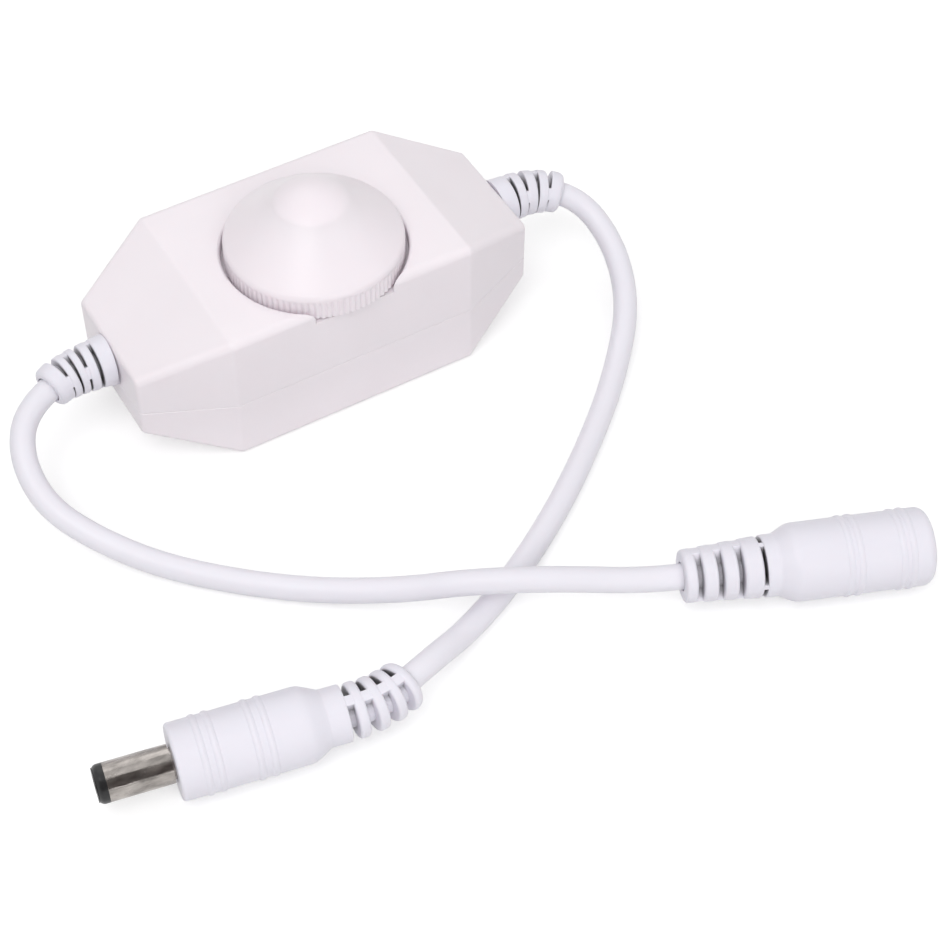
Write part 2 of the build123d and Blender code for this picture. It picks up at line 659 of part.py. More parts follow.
def small_parts(places):
    """Surface-mount parts of one size, standing on the board."""
    parts = []
    for x, y, turn in places:
        part = Box(SMALL_PART_LENGTH, SMALL_PART_WIDTH, SMALL_PART_HEIGHT, align=ABOVE)
        parts.append(Pos(x, y, BOARD_TOP) * Rot(0, 0, turn) * part)
    return Compound(children=parts)


def resistors():
    return small_parts(RESISTOR_PLACES)


def ceramic_capacitors():
    return small_parts(CERAMIC_PLACES)


def pad_places():
    return [(side * PAD_X, y * PAD_Y) for side in (-1, 1) for y in (-1, 1)]


def solder_joints():
    joints = []
    for x, y in pad_places():
        joint = Cone(PAD_RADIUS, WIRE_DIAMETER / 2, PAD_HEIGHT, align=ABOVE)
        joints.append(Pos(x, y, BOARD_TOP) * joint)
    return Compound(children=joints)


def bend_radii(points):
    """Radius at each corner of a route: as large as its two runs allow."""
    corners = [Vector(*point) for point in points]
    radii = []
    for before, corner, after in zip(corners, corners[1:], corners[2:]):
        arrive, leave = corner - before, after - corner
        turn = math.radians(arrive.get_angle(leave))
        shorter = min(arrive.length, leave.length)
        radii.append(0.45 * shorter / math.tan(turn / 2))
    return radii


def tube(name, points, diameter):
    """Round tube along straight runs and tangent arcs."""
    radii = bend_radii(points)
    path = FilletPolyline(*points, radius=radii)
    section = Plane(origin=path @ 0, z_dir=path % 0) * Circle(diameter / 2)
    solid = sweep(section, path=path)
    expected = math.pi * diameter**2 / 4 * path.length
    print(name, "length", round(path.length, 1), "volume ratio", round(solid.volume / expected, 4))
    print(name, "radii", [round(radius, 1) for radius in radii])
    return solid


def inner_wire(side, y_side):
    """One insulated conductor, from the relief's flange down to its pad."""
    start_x = WALL_INSIDE - FIT_GAP - FLANGE_THICKNESS
    joint_top = BOARD_TOP + PAD_HEIGHT
    drop = EXIT_HEIGHT - joint_top
    points = [
        (side * start_x, y_side * WIRE_SPREAD, EXIT_HEIGHT),
        (side * (start_x - 2.4), y_side * WIRE_SPREAD, EXIT_HEIGHT),
        (side * (start_x - 5.0), y_side * 1.4, joint_top + 0.66 * drop),
        (side * PAD_X, y_side * PAD_Y, joint_top + 0.4 * drop),
        (side * PAD_X, y_side * PAD_Y, joint_top),
    ]
    return tube("wire", points, WIRE_DIAMETER)


class BentAxis:
    """Axis of a relief: straight at first, then an arc towards its local +Y, from the origin along +X."""

    def __init__(self, length, bend_length=0.0, bend=0.0):
        self.length = length
        self.straight = length - bend_length
        self.bend = math.radians(bend)
        self.radius = bend_length / self.bend if bend else 0.0

    def at(self, distance):
        """Location on the axis, with its local X along the axis."""
        if distance <= self.straight or not self.bend:
            return Pos(distance, 0, 0)
        turn = (distance - self.straight) / self.radius
        x = self.straight + self.radius * math.sin(turn)
        y = self.radius * (1 - math.cos(turn))
        return Pos(x, y, 0) * Rot(0, 0, math.degrees(turn))

    def end(self):
        return self.at(self.length)


def rounded_ring(near_radius, far_radius, thickness, near_edge, far_edge):
    """Disc along the local X axis from the origin, with its two outer edges rounded."""
    outline = Polyline((0, 0), (0, near_radius), (thickness, far_radius), (thickness, 0), close=True)
    section = make_face(outline)
    far_corner = max(section.vertices(), key=lambda vertex: vertex.Y + vertex.X)
    section = fillet(far_corner, far_edge)
    if near_edge > 0:
        near_corner = max(section.vertices(), key=lambda vertex: vertex.Y - 2 * vertex.X)
        section = fillet(near_corner, near_edge)
    return revolve(section, Axis.X)


class Slot:
    """Slot round a relief, bridged by ribs at some angles about the relief's axis."""

    def __init__(self, place, width, rib_width, rib_angles):
        self.place = place
        self.width = width
        self.rib_width = rib_width
        self.rib_angles = rib_angles


class Relief:
    """Slotted strain relief along a bent axis: rings on a core, with ribs across each slot."""

    def __init__(self, axis, root_radius, end_radius, core_radius, slots):
        self.axis = axis
        self.root_radius = root_radius
        self.end_radius = end_radius
        self.core_radius = core_radius
        self.slots = slots

    def radius_at(self, distance):
        taper = (self.end_radius - self.root_radius) / self.axis.length
        return self.root_radius + taper * distance

    def rings(self, edge, end_edge):
        starts = [0.0] + [slot.place + slot.width / 2 for slot in self.slots]
        ends = [slot.place - slot.width / 2 for slot in self.slots] + [self.axis.length]
        body = None
        for near, far in zip(starts, ends):
            most = 0.45 * (far - near)
            outer_edge = end_edge if far == self.axis.length else min(edge, most)
            inner_edge = min(edge, most) if near > 0 else 0
            ring = rounded_ring(self.radius_at(near), self.radius_at(far), far - near, inner_edge, outer_edge)
            placed = self.axis.at(far) * Pos(near - far, 0, 0) * ring
            body = placed if body is None else body + placed
        return body

    def solid(self, edge, end_edge):
        body = self.rings(edge, end_edge)
        for slot in self.slots:
            place = self.axis.at(slot.place)
            reach = slot.width + 2.4 * edge
            radius = self.radius_at(slot.place) - RIB_SINK
            body += place * Rot(0, 90, 0) * Cylinder(self.core_radius, reach)
            for angle in slot.rib_angles:
                bar = Box(reach, slot.rib_width, 2 * radius, align=(Align.CENTER, Align.CENTER, Align.MIN))
                rib = bar & (Rot(0, 90, 0) * Cylinder(radius, reach))
                body += place * Rot(angle, 0, 0) * rib
        return body - self.axis.end() * Pos(-CORD_EXIT_DEPTH, 0, 0) * cord_exit()

    def cord_start(self):
        """Where the cord leaves the end ring, looking out along the cord."""
        return self.axis.end() * Pos(-CORD_EXIT_DEPTH, 0, 0)


def cord_exit():
    """Recess round the cord in the end ring."""
    return rod(CORD_DIAMETER / 2 + CORD_EXIT_GAP, 0, 2 * CORD_EXIT_DEPTH)


def opposite_ribs(turn):
    return (turn, turn + 180)


def housing_relief_axis(side):
    if side < 0:
        return BentAxis(INPUT_RELIEF_LENGTH, INPUT_BEND_LENGTH, INPUT_BEND)
    return BentAxis(OUTPUT_RELIEF_LENGTH, OUTPUT_BEND_LENGTH, OUTPUT_BEND)


def housing_relief_shape(side):
    """Relief with its ribs a quarter turn apart from slot to slot."""
    tilt = INPUT_BEND_TILT if side < 0 else OUTPUT_BEND_TILT
    places = INPUT_SLOTS if side < 0 else OUTPUT_SLOTS
    turn = side * (RELIEF_RIB_TURN - tilt)
    slots = []
    for number, place in enumerate(places):
        ribs = opposite_ribs(turn + 90) if number % 2 == 0 else opposite_ribs(turn)
        slots.append(Slot(place, RELIEF_SLOT_WIDTH, RELIEF_RIB_WIDTH, ribs))
    return Relief(
        housing_relief_axis(side), RELIEF_ROOT_RADIUS, RELIEF_END_RADIUS, RELIEF_CORE_RADIUS, slots
    )


def housing_relief_place(side):
    """Places a relief's local frame at the end wall, its local +Y tipped towards -Y and down."""
    tilt = math.radians(INPUT_BEND_TILT if side < 0 else OUTPUT_BEND_TILT)
    out = Vector(side, 0, 0)
    towards = Vector(0, -math.cos(tilt), -math.sin(tilt))
    origin = (side * (CASE_LENGTH / 2 + FIT_GAP), 0, EXIT_HEIGHT)
    return Plane(origin=origin, x_dir=out, z_dir=out.cross(towards)).location


def lean_cutter(side):
    """Wedge that opens the gap between the housing and the first ring towards the bottom."""
    face = side * (CASE_LENGTH / 2 + FIT_GAP)
    hinge = Pos(face, 0, EXIT_HEIGHT + RELIEF_ROOT_RADIUS) * Rot(0, -side * RELIEF_LEAN, 0)
    size = 3 * RELIEF_ROOT_RADIUS
    align = (Align.MAX if side > 0 else Align.MIN, Align.CENTER, Align.MAX)
    return hinge * Box(size, size, size, align=align)


def housing_relief(side):
    relief = housing_relief_shape(side)
    body = housing_relief_place(side) * relief.solid(RELIEF_RING_EDGE, RELIEF_END_EDGE)
    body -= lean_cutter(side)
    neck_start = WALL_INSIDE - FIT_GAP
    neck_end = CASE_LENGTH / 2 + FIT_GAP + RELIEF_ROOT_RADIUS / 4
    body += extrude(end_plane(side, neck_start) * neck_outline(), neck_end - neck_start)
    flange_height = FLANGE_LOW + FLANGE_HIGH
    flange = Pos(0, (FLANGE_HIGH - FLANGE_LOW) / 2) * Rectangle(FLANGE_WIDTH, flange_height)
    flange_start = neck_start - FLANGE_THICKNESS
    body += extrude(end_plane(side, flange_start) * flange, FLANGE_THICKNESS)
    return body


def ridged_section(length, radius, ridges, edge, shoulder, neck_radius, neck_length):
    """Half section of a moulded connector body along +X, from its face to its relief."""
    corner = (edge * (1 - math.cos(math.pi / 4)), radius - edge * (1 - math.sin(math.pi / 4)))
    place = (edge, radius)
    outline = Line((0, 0), (0, radius - edge)) + ThreePointArc((0, radius - edge), corner, place)
    for ridge in ridges:
        start, top, stop = (ridge + step * RIDGE_WIDTH / 2 for step in (-1, 0, 1))
        outline += Line(place, (start, radius))
        outline += ThreePointArc((start, radius), (top, radius + RIDGE_HEIGHT), (stop, radius))
        place = (stop, radius)
    end = length + shoulder + neck_length
    outline += Polyline(
        place, (length, radius), (length + shoulder, neck_radius), (end, neck_radius), (end, 0), (0, 0)
    )
    section = make_face(outline)
    for x, y, size in ((length, radius, SHOULDER_ROUND), (length + shoulder, neck_radius, NECK_ROUND)):
        nearest = min(section.vertices(), key=lambda vertex: math.hypot(vertex.X - x, vertex.Y - y))
        section = fillet(nearest, size)
    return section


def rod(radius, start, length):
    """Round rod along the local X axis."""
    return Pos(start, 0, 0) * Rot(0, 90, 0) * Cylinder(radius, length, align=ABOVE)


def lying_frame(point, height, heading):
    """Frame of a connector that lies on the surface, its local X pointing from its face to its cord."""
    turn = math.radians(heading)
    direction = (math.cos(turn), math.sin(turn), 0)
    return Plane(origin=(point[0], point[1], height), x_dir=direction, z_dir=(0, 0, 1)).location


def plug_frame():
    return lying_frame(PLUG_TIP, PLUG_AXIS_HEIGHT, PLUG_HEADING)


def plug_relief_axis():
    return BentAxis(PLUG_RELIEF_LENGTH, PLUG_RELIEF_BEND_LENGTH, PLUG_RELIEF_BEND)


def plug_face():
    return TIP_LENGTH + BARREL_REACH


def plug_relief_start():
    return plug_face() + PLUG_BODY_LENGTH + PLUG_SHOULDER_LENGTH + PLUG_NECK_LENGTH


def plug_relief_shape():
    ribs = opposite_ribs(PLUG_RIB_TURN)
    slots = [Slot(place, CONNECTOR_SLOT_WIDTH, PLUG_RIB_WIDTH, ribs) for place in PLUG_RELIEF_SLOTS]
    return Relief(
        plug_relief_axis(), PLUG_NECK_RADIUS, PLUG_RELIEF_END_RADIUS, CONNECTOR_CORE_RADIUS, slots
    )


def plug_body():
    section = ridged_section(
        PLUG_BODY_LENGTH, PLUG_RADIUS, PLUG_RIDGES, PLUG_EDGE,
        PLUG_SHOULDER_LENGTH, PLUG_NECK_RADIUS, PLUG_NECK_LENGTH,
    )
    body = Pos(plug_face(), 0, 0) * revolve(section, Axis.X)
    relief = plug_relief_shape().solid(CONNECTOR_RING_EDGE, PLUG_END_EDGE)
    body += Pos(plug_relief_start(), 0, 0) * relief
    body -= barrel_outside()
    body -= contact_outside()
    return plug_frame() * body


def barrel_outside():
    """Barrel to just short of the moulded face, then a narrower shank with a flange at its end."""
    step = plug_face() - BARREL_SHANK_SHOWS
    back = plug_face() + BARREL_SEAT
    flange_start = back - BARREL_FLANGE_THICKNESS
    outside = rod(BARREL_RADIUS, TIP_LENGTH, step - TIP_LENGTH)
    outside += rod(BARREL_SHANK_RADIUS, step, back - step)
    return outside + rod(BARREL_RADIUS + BARREL_FLANGE, flange_start, BARREL_FLANGE_THICKNESS)


def contact_outside():
    return rod(CONTACT_TAIL_RADIUS, plug_face() + BARREL_SEAT, CONTACT_TAIL)


def barrel_inside():
    """Inside of the barrel and of its shank, which the insulating sleeve fills."""
    step = plug_face() - BARREL_SHANK_SHOWS - BARREL_WALL
    inside = rod(BARREL_RADIUS - BARREL_WALL, 0, step)
    return inside + rod(BARREL_SHANK_RADIUS - BARREL_WALL, step, plug_face() + BARREL_SEAT - step)


def plug_barrel():
    return plug_frame() * (barrel_outside() - barrel_inside())


def plug_insulator():
    """Black sleeve between barrel and inner contact, with a rounded collar at the tip."""
    collar = fillet(rod(BARREL_RADIUS, 0, TIP_LENGTH).edges().sort_by(Axis.X)[0], TIP_ROUND)
    sleeve = barrel_inside()
    hole = rod(BORE_RADIUS + CONTACT_WALL, 0, CONTACT_SETBACK + CONTACT_LENGTH)
    tail_hole = rod(CONTACT_TAIL_RADIUS, 0, plug_face() + BARREL_SEAT)
    return plug_frame() * (collar + sleeve - hole - tail_hole)


def plug_contact():
    """Inner contact: a tube that takes the mating pin, closed at the back, with a solder tail."""
    tube_body = rod(BORE_RADIUS + CONTACT_WALL, CONTACT_SETBACK, CONTACT_LENGTH)
    bore = rod(BORE_RADIUS, CONTACT_SETBACK, CONTACT_LENGTH - 2 * CONTACT_WALL)
    tail_end = plug_face() + BARREL_SEAT + CONTACT_TAIL
    tail_start = CONTACT_SETBACK + CONTACT_LENGTH - CONTACT_WALL
    return plug_frame() * (tube_body - bore + rod(CONTACT_TAIL_RADIUS, tail_start, tail_end - tail_start))


def socket_frame():
    return lying_frame(SOCKET_MOUTH, SOCKET_AXIS_HEIGHT, SOCKET_HEADING)


def socket_relief_axis():
    return BentAxis(SOCKET_RELIEF_LENGTH)


def socket_relief_start():
    return SOCKET_BODY_LENGTH + SOCKET_SHOULDER_LENGTH + SOCKET_NECK_LENGTH


def insulator_outside():
    return rod(INSULATOR_RADIUS, INSULATOR_SETBACK, INSULATOR_LENGTH)


def insulator_back():
    return INSULATOR_SETBACK + INSULATOR_LENGTH


def socket_relief_shape():
    """Relief with four narrow ribs in the slot beside the body, and two wide ones in each of the others."""
    four = opposite_ribs(SOCKET_FIRST_RIB_TURN) + opposite_ribs(SOCKET_FIRST_RIB_TURN + 90)
    two = opposite_ribs(SOCKET_RIB_TURN)
    slots = [Slot(SOCKET_FIRST_SLOT, SOCKET_FIRST_SLOT_WIDTH, SOCKET_FIRST_RIB_WIDTH, four)]
    for place in SOCKET_SLOTS:
        slots.append(Slot(place, CONNECTOR_SLOT_WIDTH, SOCKET_RIB_WIDTH, two))
    return Relief(
        socket_relief_axis(), SOCKET_NECK_RADIUS, SOCKET_RELIEF_END_RADIUS, CONNECTOR_CORE_RADIUS, slots
    )


def socket_body():
    section = ridged_section(
        SOCKET_BODY_LENGTH, SOCKET_RADIUS, SOCKET_RIDGES, SOCKET_END_ROUND,
        SOCKET_SHOULDER_LENGTH, SOCKET_NECK_RADIUS, SOCKET_NECK_LENGTH,
    )
    body = revolve(section, Axis.X)
    relief = socket_relief_shape().solid(CONNECTOR_RING_EDGE, SOCKET_END_EDGE)
    body += Pos(socket_relief_start(), 0, 0) * relief
    body -= insulator_outside()
    body -= rod(SOCKET_BORE_RADIUS, 0, INSULATOR_SETBACK)
    body -= rod(CENTRE_PIN_SHANK_RADIUS, insulator_back(), CENTRE_PIN_TAIL)
    return socket_frame() * body


def spring_slot():
    """Groove along the top of the socket's bore, in which the spring contact lies."""
    length = insulator_back() - INSULATOR_SETBACK
    floor = SOCKET_BORE_RADIUS + SPRING_SLOT_DEPTH
    return Pos(INSULATOR_SETBACK, 0, 0) * Box(
        length, SPRING_WIDTH + 2 * FIT_GAP, floor, align=(Align.MIN, Align.CENTER, Align.MIN)
    )


def socket_insulator():
    body = insulator_outside()
    body -= rod(SOCKET_BORE_RADIUS, 0, SOCKET_BORE_DEPTH)
    body -= rod(CENTRE_PIN_SHANK_RADIUS, 0, insulator_back())
    groove = spring_slot() - rod(SOCKET_BORE_RADIUS - FIT_GAP, SOCKET_BORE_DEPTH, INSULATOR_LENGTH)
    return socket_frame() * (body - groove)


def socket_pin():
    step = SOCKET_BORE_DEPTH - FIT_GAP
    pin = rod(CENTRE_PIN_RADIUS, CENTRE_PIN_SETBACK, step - CENTRE_PIN_SETBACK)
    pin = fillet(pin.edges().sort_by(Axis.X)[0], CENTRE_PIN_ROUND)
    shank = rod(CENTRE_PIN_SHANK_RADIUS, step, insulator_back() + CENTRE_PIN_TAIL - step)
    return socket_frame() * (pin + shank)


def socket_spring():
    """Leaf that lies in its groove and bows into the bore to press on the mating barrel."""
    high = SOCKET_BORE_RADIUS + SPRING_SLOT_DEPTH
    low = high - SPRING_THICKNESS
    back = insulator_back()
    front = back - SPRING_REACH - 2.0
    bow_middle = front + 0.3 * SPRING_REACH
    bow_back = front + 0.6 * SPRING_REACH
    dip = SPRING_SLOT_DEPTH - SPRING_THICKNESS + SPRING_BOW
    outline = Polyline(
        (front, high), (bow_middle, high - dip), (bow_back, high), (back, high),
        (back, low), (bow_back, low), (bow_middle, low - dip), (front, low), close=True,
    )
    leaf = extrude(Plane.XZ * make_face(outline), SPRING_WIDTH / 2, both=True)
    return socket_frame() * leaf


def point_of(location):
    return tuple(location.position)


def step_from(location, distance):
    """Point at a distance along the local X axis of a location."""
    return tuple((location * Pos(distance, 0, 0)).position)


def cord(name, start, end, route):
    """Cord that leaves the housing's relief and runs by its route into a connector's relief."""
    points = [point_of(start), step_from(start, CORD_LEAD)]
    points += route
    points += [step_from(end, CORD_LEAD), point_of(end)]
    return tube(name, points, CORD_DIAMETER)


def input_cord():
    """From the housing's -X relief round to the front, over the other cord, to the socket."""
    start = housing_relief_place(-1) * housing_relief_shape(-1).cord_start()
    end = socket_frame() * Pos(socket_relief_start(), 0, 0) * socket_relief_shape().cord_start()
    return cord("input_cord", start, end, INPUT_ROUTE)


def output_cord():
    """From the housing's +X relief round to the front, under the other cord, to the plug."""
    start = housing_relief_place(1) * housing_relief_shape(1).cord_start()
    end = plug_frame() * Pos(plug_relief_start(), 0, 0) * plug_relief_shape().cord_start()
    return cord("output_cord", start, end, OUTPUT_ROUTE)


def build():
    block = rounded_block()
    inside = case_block(CASE_WALL)
    return {
        "upper_shell": upper_shell(block, inside),
        "lower_shell": lower_shell(block, inside),
        "case_screws": case_screws(),
        "knob": knob(),
        "pot_spindle": pot_spindle(),
        "pot_wiper": pot_wiper(),
        "pot_base": pot_base(),
        "pot_track": pot_track(),
        "pot_bracket": pot_bracket(),
        "pot_terminals": pot_terminals(),
        "circuit_board": circuit_board(),
        "timer_chip": timer_chip(),
        "power_transistor": power_transistor(),
        "capacitor": capacitor(),
        "diode": diode(),
        "resistors": resistors(),
        "ceramic_capacitors": ceramic_capacitors(),
        "solder_joints": solder_joints(),
        "input_wire_red": inner_wire(-1, 1),
        "input_wire_black": inner_wire(-1, -1),
        "output_wire_red": inner_wire(1, 1),
        "output_wire_black": inner_wire(1, -1),
        "input_relief": housing_relief(-1),
        "output_relief": housing_relief(1),
        "input_cord": input_cord(),
        "output_cord": output_cord(),
        "plug_body": plug_body(),
        "plug_barrel": plug_barrel(),
        "plug_insulator": plug_insulator(),
        "plug_contact": plug_contact(),
        "socket_body": socket_body(),
        "socket_insulator": socket_insulator(),
        "socket_pin": socket_pin(),
        "socket_spring": socket_spring(),
    }


os.makedirs("parts", exist_ok=True)
for node, shape in build().items():
    export_step(shape, f"parts/{node}.step")
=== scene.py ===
import json
import math

import bpy
from mathutils import Matrix, Quaternion, Vector


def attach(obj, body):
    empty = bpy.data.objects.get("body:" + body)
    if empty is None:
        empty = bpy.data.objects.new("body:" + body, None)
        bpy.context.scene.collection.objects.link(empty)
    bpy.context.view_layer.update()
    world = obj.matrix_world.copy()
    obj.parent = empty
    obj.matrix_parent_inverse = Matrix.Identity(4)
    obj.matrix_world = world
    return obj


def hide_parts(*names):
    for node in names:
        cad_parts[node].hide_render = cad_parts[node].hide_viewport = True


# Looks for the inline cord dimmer: camera, cords, the knob's rim, materials and light.
# Lengths are in metres, apart from the cords' routes and the knob's outline, in millimetres.
MM = 0.001

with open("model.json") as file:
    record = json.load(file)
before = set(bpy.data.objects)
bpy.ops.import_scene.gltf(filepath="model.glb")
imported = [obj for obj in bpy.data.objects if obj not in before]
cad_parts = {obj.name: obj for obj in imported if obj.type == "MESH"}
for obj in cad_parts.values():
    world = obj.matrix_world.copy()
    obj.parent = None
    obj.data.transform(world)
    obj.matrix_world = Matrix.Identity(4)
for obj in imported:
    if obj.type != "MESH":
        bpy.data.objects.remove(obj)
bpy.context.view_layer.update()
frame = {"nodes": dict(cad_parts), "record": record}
nodes = frame["nodes"]

# Camera, as the photograph was taken
CAMERA_PLACE = Vector((-0.1038, -0.2244, 0.2600))
CAMERA_AIM = Vector((0.00834, -0.03691, 0.0))
CAMERA_ROLL = 0.010
CAMERA_LENS = 84.87
CAMERA_SENSOR = 36.0

# Lamps: name, place, size and energy, all aimed at one point
LIGHT_AIM = Vector((0.0, -0.03, 0.01))
LIGHTS = [
    ("key", (-0.35, -0.30, 0.75), 0.5, 2.15),
    ("fill", (-0.05, -0.75, 0.38), 0.6, 1.75),
    ("back", (0.1, 0.6, 0.7), 0.6, 0.6),
]

# Sky: its strength near the horizon and overhead, and the heights between which it grows
SKY_STRENGTH = (0.15, 0.78)
SKY_RISE = (0.1, 0.8)

# Floor: half its side, its colour, and the white that it shows of its own
FLOOR_REACH = 4.0
FLOOR_COLOUR = (0.70, 0.70, 0.70)
FLOOR_GLOW = 0.42

# Card that only gloss sees
CARD_PLACE = Vector((-0.22, -0.50, 0.46))
CARD_SIZE = (0.9, 0.8)
CARD_COLOUR = (0.22, 0.19, 0.185)

# Cords: diameter, and the control points from the relief to the connector
CORD_DIAMETER = 0.0038
INPUT_ROUTE = [
    (-43.41, -0.81, 13.70),
    (-48.40, -2.55, 13.05),
    (-52.00, -8.30, 10.30),
    (-51.60, -15.50, 6.20),
    (-46.60, -22.90, 3.00),
    (-39.40, -32.20, 1.95),
    (-26.60, -43.80, 1.95),
    (-14.40, -52.60, 3.60),
    (-5.00, -59.50, 7.60),
    (6.00, -65.40, 7.60),
    (16.96, -70.77, 5.95),
    (22.19, -72.79, 5.95),
]
OUTPUT_ROUTE = [
    (44.29, -1.94, 13.10),
    (47.50, -4.10, 12.09),
    (49.00, -12.30, 8.00),
    (45.90, -21.60, 4.40),
    (38.50, -30.20, 1.95),
    (29.00, -39.30, 1.95),
    (15.60, -50.00, 1.95),
    (2.00, -58.50, 1.95),
    (-8.20, -63.10, 1.95),
    (-16.25, -67.05, 5.65),
    (-21.60, -68.71, 5.65),
]

# Knob: its axis, the circle of its rim's rounding, and the ball of its tip as (height, radius)
KNOB_AXIS = (0.0, -3.3)
RIM_CIRCLE = (12.45, 25.6, 1.3)
TIP_BALL = (25.5, 9.5)

# Knob's rim: foot and inside of the skirt, and where the cone's edge lies on and in the ball
SKIRT_BOTTOM = 22.3
SKIRT_INSIDE = 12.15
EDGE_PROUD = 0.01
EDGE_SUNK = 0.12
EDGE_STEP = math.radians(0.5)
SKIRT_ROWS = 12
RIM_ROWS = 16
EDGE_ROWS = 8

# Ribs of the skirt, and the height over which they fade out under the rim
RIBS = 93
RIB_STEPS = 8
RIB_DEPTH = 0.26
RIB_TOP = 25.5
RIB_RUN_OUT = 0.5

# Materials: headings and colours that more than one of them uses
PLUG_HEADING = math.radians(-10.75)
HOUSING_WHITE = (0.89, 0.83, 0.87)
KNOB_WHITE = (0.90, 0.83, 0.875)
CORD_WHITE = (0.82, 0.80, 0.86)
CONNECTOR_WHITE = (0.80, 0.78, 0.85)
# Colour of the shade painted into slots and grooves
SLOT_SHADE = (0.06, 0.055, 0.055)

# Moulded plastics: colour, roughness, size of the grain, its depth, softness, painted shade in
# slots
MOULDED = {
    "shell_plastic": (HOUSING_WHITE, 0.36, 0.0004, 0.000012, 0.15),
    "knob_plastic": (KNOB_WHITE, 0.34, 0.0004, 0.000010, 0.15),
    "white_pvc": (CONNECTOR_WHITE, 0.42, 0.0006, 0.000014, 0.2, True),
    "cord_jacket": (CORD_WHITE, 0.40, 0.0008, 0.000014, 0.2),
    "black_plastic": ((0.007, 0.007, 0.008), 0.35, 0.0005, 0.00001),
    "spindle_plastic": ((0.75, 0.73, 0.68), 0.4, 0.0005, 0.00001),
    "red_insulation": ((0.5, 0.02, 0.02), 0.45, 0.0006, 0.00001),
    "black_insulation": ((0.02, 0.02, 0.02), 0.45, 0.0006, 0.00001),
}

# Drawn or turned metals: colour, roughness, heading of the fine lines
DRAWN_METALS = {
    "nickel": ((0.47, 0.435, 0.41), 0.22, PLUG_HEADING),
    "contact_brass": ((0.72, 0.58, 0.32), 0.3, PLUG_HEADING),
}

# Small inner parts: colour, roughness, and 1 for a metal
PLAIN_GRAINS = {
    "spring_metal": ((0.66, 0.65, 0.62), 0.35, 1.0),
    "zinc_steel": ((0.6, 0.61, 0.63), 0.38, 1.0),
    "track_board": ((0.2, 0.12, 0.07), 0.5),
    "board": ((0.03, 0.2, 0.09), 0.35),
    "can_aluminium": ((0.6, 0.6, 0.62), 0.35, 1.0),
    "chip_ceramic": ((0.05, 0.05, 0.06), 0.5),
    "capacitor_ceramic": ((0.5, 0.36, 0.24), 0.5),
    "solder": ((0.7, 0.7, 0.71), 0.3, 1.0),
}


def add_camera():
    view = CAMERA_AIM - CAMERA_PLACE
    turn = view.to_track_quat("-Z", "Y") @ Quaternion((0, 0, 1), CAMERA_ROLL)
    camera = bpy.data.objects.new("camera", bpy.data.cameras.new("camera"))
    camera.matrix_world = Matrix.Translation(CAMERA_PLACE) @ turn.to_matrix().to_4x4()
    camera.data.lens = CAMERA_LENS
    camera.data.sensor_width = CAMERA_SENSOR
    camera.data.clip_start = 0.01
    bpy.context.scene.collection.objects.link(camera)
    bpy.context.scene.camera = camera


def add_cord(name, route, node):
    """Cord as one smooth curve, whose points carry the tube's radius so that its box fits it."""
    curve = bpy.data.curves.new(name, "CURVE")
    curve.dimensions = "3D"
    spline = curve.splines.new("NURBS")
    spline.points.add(len(route) - 1)
    for point, place in zip(spline.points, route):
        point.co = (*(Vector(place) * MM), 1.0)
        point.radius = CORD_DIAMETER / 2
    spline.order_u = 3
    spline.use_endpoint_u = True
    spline.resolution_u = 16
    curve.bevel_depth = 1.0
    curve.bevel_resolution = 10
    curve.use_fill_caps = True
    cord = bpy.data.objects.new(name, curve)
    bpy.context.scene.collection.objects.link(cord)
    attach(cord, "root")
    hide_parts(node)
    return cord


def add_cords():
    input_cord = add_cord("input_flex", INPUT_ROUTE, "input_cord")
    output_cord = add_cord("output_flex", OUTPUT_ROUTE, "output_cord")
    return [input_cord, output_cord]


def knob_profile():
    """Knob's outside from the skirt's foot up to the ball, and its inside: (radius, height)."""
    rim_radius, rim_height, rim_round = RIM_CIRCLE
    tip_height, tip_round = TIP_BALL
    rise = rim_height - tip_height
    reach = math.hypot(rim_radius, rise)
    lean = math.asin((tip_round - rim_round) / reach) - math.atan2(rise, rim_radius)
    outside = []
    for step in range(SKIRT_ROWS):
        height = SKIRT_BOTTOM + step * (rim_height - SKIRT_BOTTOM) / SKIRT_ROWS
        outside.append((rim_radius + rim_round, height))
    for step in range(RIM_ROWS + 1):
        angle = math.pi / 2 - (math.pi / 2 - lean) * step / RIM_ROWS
        across, up = rim_round * math.sin(angle), rim_round * math.cos(angle)
        outside.append((rim_radius + across, rim_height + up))
    for step in range(EDGE_ROWS + 1):
        angle = lean - step * EDGE_STEP
        size = tip_round + EDGE_PROUD
        outside.append((size * math.sin(angle), tip_height + size * math.cos(angle)))
    edge_radius, edge_height = outside[-1]
    inside = [
        (edge_radius - EDGE_SUNK, edge_height - EDGE_SUNK),
        (SKIRT_INSIDE, rim_height),
        (SKIRT_INSIDE, SKIRT_BOTTOM),
    ]
    return outside, inside


